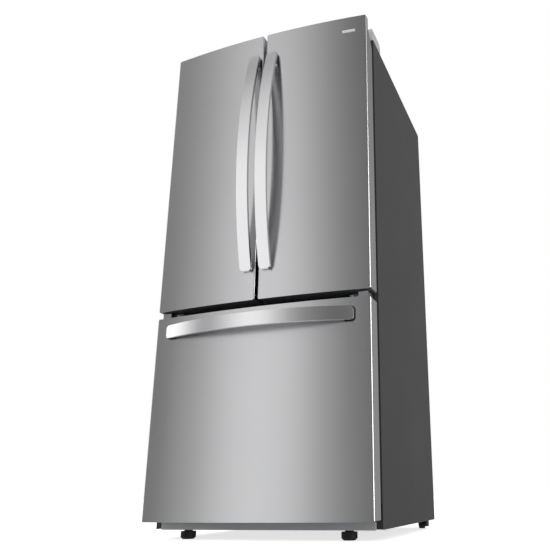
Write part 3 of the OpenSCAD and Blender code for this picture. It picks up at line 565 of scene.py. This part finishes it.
for side, sign in (("left", -1), ("right", 1)):
    node = "crisper_" + side
    middle = (LOW[node].x + HIGH[node].x) / 2
    piece(node + "_grip", side + "_crisper", "shelf_rim",
          grips(node, [(middle - CRISPER_GRIP_HALF, middle + CRISPER_GRIP_HALF)]))
piece("pantry_grips", "pantry", "shelf_rim",
      grips("pantry_drawer", PANTRY_GRIPS))

PANEL_LOW, PANEL_HIGH = LOW["control_panel"], HIGH["control_panel"]
PANEL_MIDDLE = (PANEL_LOW.y + PANEL_HIGH.y) / 2
KEY_R, KEY_H, KEY_SUNK, KEY_COUNT = 0.0075, 0.0012, 0.0006, 3
KEY_FIRST, KEY_PITCH = 0.042, 0.022
WINDOW_HALF_X, WINDOW_HALF_Y = 0.026, 0.012


def keys(bm):
    for side in (-1, 1):
        for k in range(KEY_COUNT):
            turned(bm, [(0, KEY_SUNK), (KEY_R, KEY_SUNK), (KEY_R, -KEY_H * 0.5), (KEY_R * 0.85, -KEY_H),
                        (0, -KEY_H)], (side * (KEY_FIRST + KEY_PITCH * k), PANEL_MIDDLE, PANEL_LOW.z), Z)


piece("panel_keys", "cabinet", "shelf_rim", keys)


def panel_window(bm):
    slab(bm, (-WINDOW_HALF_X, PANEL_MIDDLE - WINDOW_HALF_Y, PANEL_LOW.z - 0.0008),
         (WINDOW_HALF_X, PANEL_MIDDLE + WINDOW_HALF_Y, PANEL_LOW.z + 0.001), 0.0006)


piece("panel_window", "cabinet", "black_steel", panel_window)


RIB_COUNT, RIB_INSET, RIB_H = 16, 0.006, 0.0012


def lens_ribs(bm):
    low, high = LOW["interior_lamp"], HIGH["interior_lamp"]
    pitch = (high.x - low.x - 2 * RIB_INSET) / RIB_COUNT
    for k in range(RIB_COUNT):
        x = low.x + RIB_INSET + pitch * k
        slab(bm, (x, low.y + RIB_INSET, low.z - RIB_H),
             (x + pitch * 0.6, high.y - RIB_INSET, low.z + 0.0005), 0.0005, 2)


piece("lamp_ribs", "cabinet", "lamp_lens", lens_ribs)

# Back: a sheet with pressed beads in place of the plain panel, and the screws round it
BEAD_DEPTH, BEAD_HALF, BEAD_INSET, BEAD_ROUND = 0.0011, 0.007, 0.055, 0.045
UPRIGHT_X = 0.12  # of the two upright beads, from the middle
SHEET_T = 0.0003
FINE, COARSE = 0.0025, 0.025  # steps of the grid near the beads and away from them


def bead_distance(x, z, low, high):
    """Distance from the nearest bead: a rounded frame with two upright lines in it."""
    cx, cz = (low.x + high.x) / 2, (low.z + high.z) / 2
    inner = BEAD_INSET + BEAD_ROUND
    hx, hz = (high.x - low.x) / 2 - inner, (high.z - low.z) / 2 - inner
    qx, qz = abs(x - cx) - hx, abs(z - cz) - hz
    frame_line = abs(math.hypot(max(qx, 0), max(qz, 0)) + min(max(qx, qz), 0) - BEAD_ROUND)
    upright = math.hypot(abs(abs(x - cx) - UPRIGHT_X), max(0, abs(z - cz) - hz))
    return min(frame_line, upright)


def grid_lines(low, high, spans):
    """Places from low to high, close together inside the spans."""
    places = [low]
    while places[-1] < high:
        at = places[-1]
        step = FINE if any(a <= at < b for a, b in spans) else COARSE
        places.append(min([at + step, high] + [a for a, _ in spans if a > at]))
    return places


def rear_sheet(bm):
    low, high = LOW["back_panel"], HIGH["back_panel"]
    cx = (low.x + high.x) / 2
    edge, turn_in = BEAD_INSET - BEAD_HALF, BEAD_INSET + BEAD_ROUND + BEAD_HALF
    spans_x = [(low.x + edge, low.x + turn_in), (high.x - turn_in, high.x - edge)]
    spans_x += [(cx + side * UPRIGHT_X - BEAD_HALF, cx + side * UPRIGHT_X + BEAD_HALF) for side in (-1, 1)]
    spans_z = [(low.z + edge, low.z + turn_in), (high.z - turn_in, high.z - edge)]
    across = grid_lines(low.x, high.x, spans_x)
    rows = []
    for z in grid_lines(low.z, high.z, spans_z):
        near = [max(0.0, 1 - bead_distance(x, z, low, high) / BEAD_HALF) for x in across]
        rows.append([bm.verts.new((x, high.y - BEAD_DEPTH * n * n * (3 - 2 * n), z))
                     for x, n in zip(across, near)])
    for a, b in zip(rows, rows[1:]):
        for i in range(len(across) - 1):
            bm.faces.new((a[i], b[i], b[i + 1], a[i + 1]))


rear = piece("rear_sheet", "cabinet", "plain_sheet", rear_sheet, replaces="back_panel")
thick = rear.modifiers.new("thickness", "SOLIDIFY")
thick.thickness = SHEET_T
thick.offset = -1

SCREW_R, SCREW_H, SCREW_SUNK, SCREW_INSET = 0.004, 0.0007, 0.0003, 0.012
PANEL_SCREWS, PANEL_SCREW_END = 7, 0.03
COVER_SCREWS, COVER_SCREW_END = 5, 0.02


def screw(bm, place, axis):
    turned(bm, [(0, -SCREW_SUNK), (SCREW_R, -SCREW_SUNK), (SCREW_R, SCREW_H * 0.4),
                (SCREW_R * 0.75, SCREW_H), (SCREW_R * 0.45, SCREW_H),
                (SCREW_R * 0.35, SCREW_H * 0.2), (0, SCREW_H * 0.2)], place, axis, 20)


def spaced(first, last, count):
    """That many places, evenly from first to last."""
    return [first + (last - first) * k / (count - 1) for k in range(count)]


def rear_screws(bm):
    low, high = LOW["back_panel"], HIGH["back_panel"]
    for x in (low.x + SCREW_INSET, high.x - SCREW_INSET):
        for z in spaced(low.z + PANEL_SCREW_END, high.z - PANEL_SCREW_END, PANEL_SCREWS):
            screw(bm, (x, high.y, z), Y)
    low, high = LOW["machine_cover"], HIGH["machine_cover"]
    for x in spaced(low.x + COVER_SCREW_END, high.x - COVER_SCREW_END, COVER_SCREWS):
        for z in (low.z + SCREW_INSET, high.z - SCREW_INSET):
            screw(bm, (x, high.y, z), Y)


piece("rear_screws", "cabinet", "hinge_steel", rear_screws)

# ---------------------------------------------------------------- studio
# Brightness by direction, in degrees left of straight out from the doors
STUDIO = {-180: 0.40, -165: 0.36, -145: 0.36, -100: 0.60, -85: 0.90, -45: 1.10, -36: 0.75, -27: 0.40,
          -18: 0.10, -10: 0.10, 0: 0.19, 5: 0.23, 11: 0.38, 15: 0.54, 19: 0.78, 23: 0.95, 28: 1.03,
          32: 0.98, 36: 0.84, 41: 0.58, 45: 0.46, 49: 0.26, 55: 0.26, 60: 0.70, 65: 1.25, 78: 1.25,
          90: 0.70, 110: 0.50, 180: 0.50}
STUDIO_BANDS = [(0.5 + degrees / 360, bright) for degrees, bright in STUDIO.items()]
# The same by height: 0 is straight down, 0.5 level and 1 straight up
STUDIO_RISE = [(0.0, 0.9), (0.5, 1.0), (0.71, 1.0), (0.76, 0.9), (0.81, 0.81), (0.95, 0.75),
               (0.985, 0.9), (1.0, 1.6)]
FLOOR_HALF, FLOOR_DROP = 14.0, 0.0005
FLOOR_LOW, FLOOR_HIGH = (0.90, 0.90, 0.90, 1), (0.94, 0.94, 0.94, 1)
FLOOR_GLOW = 0.72
FLOOR_GREY = (0.62, 0.62, 0.62, 1)


def make_world():
    """Bands of grey that the steel mirrors, and plain white where the camera looks past the object."""
    world = bpy.data.worlds.new("studio")
    world.use_nodes = True
    bpy.context.scene.world = world
    net = Net(world.node_tree)
    out = net.add("ShaderNodeOutputWorld")
    coord = net.add("ShaderNodeTexCoord")
    split = net.add("ShaderNodeSeparateXYZ")
    net.link(coord.outputs["Generated"], split.inputs[0])
    level = net.math("ARCTAN2", net.math("MULTIPLY", split.outputs[0], -1.0),
                     net.math("MULTIPLY", split.outputs[1], -1.0))
    turn = net.remap(level, 0, 1, -math.pi, math.pi)
    band = net.ramp(turn, STUDIO_BANDS)
    rise = net.ramp(net.remap(split.outputs[2], 0, 1, -1, 1), STUDIO_RISE)
    glow = net.add("ShaderNodeMix", data_type="RGBA", blend_type="MULTIPLY")
    glow.inputs["Factor"].default_value = 1
    net.link(band, glow.inputs[6])
    net.link(rise, glow.inputs[7])
    lit = net.add("ShaderNodeBackground")
    net.link(glow.outputs[2], lit.inputs["Color"])
    lit.inputs["Strength"].default_value = 1.0
    plain = net.add("ShaderNodeBackground")
    plain.inputs["Color"].default_value = (1, 1, 1, 1)
    path = net.add("ShaderNodeLightPath")
    join = net.add("ShaderNodeMixShader")
    net.link(path.outputs["Is Camera Ray"], join.inputs[0])
    net.link(lit.outputs[0], join.inputs[1])
    net.link(plain.outputs[0], join.inputs[2])
    net.link(join.outputs[0], out.inputs[0])


make_world()


def floor_material():
    """Near white with a soft shadow where the camera sees it, and plain grey where light bounces."""
    mat = bpy.data.materials.new("floor_pale")
    mat.use_nodes = True
    net = Net(mat.node_tree)
    out = net.add("ShaderNodeOutputMaterial")
    seen = net.add("ShaderNodeBsdfPrincipled")
    pale = net.mix(net.noise(6.0, 3.0), FLOOR_LOW, FLOOR_HIGH)
    net.link(pale, seen.inputs["Base Color"])
    seen.inputs["Roughness"].default_value = 0.8
    seen.inputs["Specular IOR Level"].default_value = 0.1
    seen.inputs["Emission Color"].default_value = (1, 1, 1, 1)
    seen.inputs["Emission Strength"].default_value = FLOOR_GLOW
    around = net.add("ShaderNodeBsdfDiffuse")
    around.inputs["Color"].default_value = FLOOR_GREY
    path = net.add("ShaderNodeLightPath")
    join = net.add("ShaderNodeMixShader")
    net.link(path.outputs["Is Camera Ray"], join.inputs[0])
    net.link(around.outputs[0], join.inputs[1])
    net.link(seen.outputs[0], join.inputs[2])
    net.link(join.outputs[0], out.inputs[0])
    return mat


def make_floor():
    bm = bmesh.new()
    bmesh.ops.create_grid(bm, x_segments=8, y_segments=8, size=FLOOR_HALF)
    mesh = bpy.data.meshes.new("floor")
    bm.to_mesh(mesh)
    bm.free()
    floor = bpy.data.objects.new("floor", mesh)
    floor.location.z = -FLOOR_DROP
    floor.visible_glossy = False
    bpy.context.scene.collection.objects.link(floor)
    dress(floor, floor_material())


make_floor()


def area(name, place, target, size, power, glossy=False):
    """A light aimed at target that lights surfaces and is not mirrored; a glossy one is only mirrored."""
    data = bpy.data.lights.new(name, "AREA")
    data.shape = "RECTANGLE"
    data.size, data.size_y = size
    data.energy = power
    obj = bpy.data.objects.new(name, data)
    obj.location = place
    obj.rotation_mode = "QUATERNION"
    obj.rotation_quaternion = (Vector(target) - Vector(place)).to_track_quat("-Z", "Y")
    bpy.context.scene.collection.objects.link(obj)
    obj.visible_camera = False
    obj.visible_glossy = glossy
    obj.visible_diffuse = not glossy


area("overhead", (0.0, -0.6, 3.8), (0, 0, 0), (3.0, 3.0), 30)
# The strip that draws the bright lines down the right edges of the door and the drawer
area("edge strip", (4.30, -1.10, 1.0), (0.38, -0.33, 0.9), (1.9, 5.0), 175, glossy=True)
area("front fill", (-1.6, -3.4, 1.9), (0, 0, 0.9), (2.2, 2.2), 32)

scene = bpy.context.scene
scene.view_settings.view_transform = "Standard"
scene.view_settings.look = "None"
scene.view_settings.exposure = 0.0
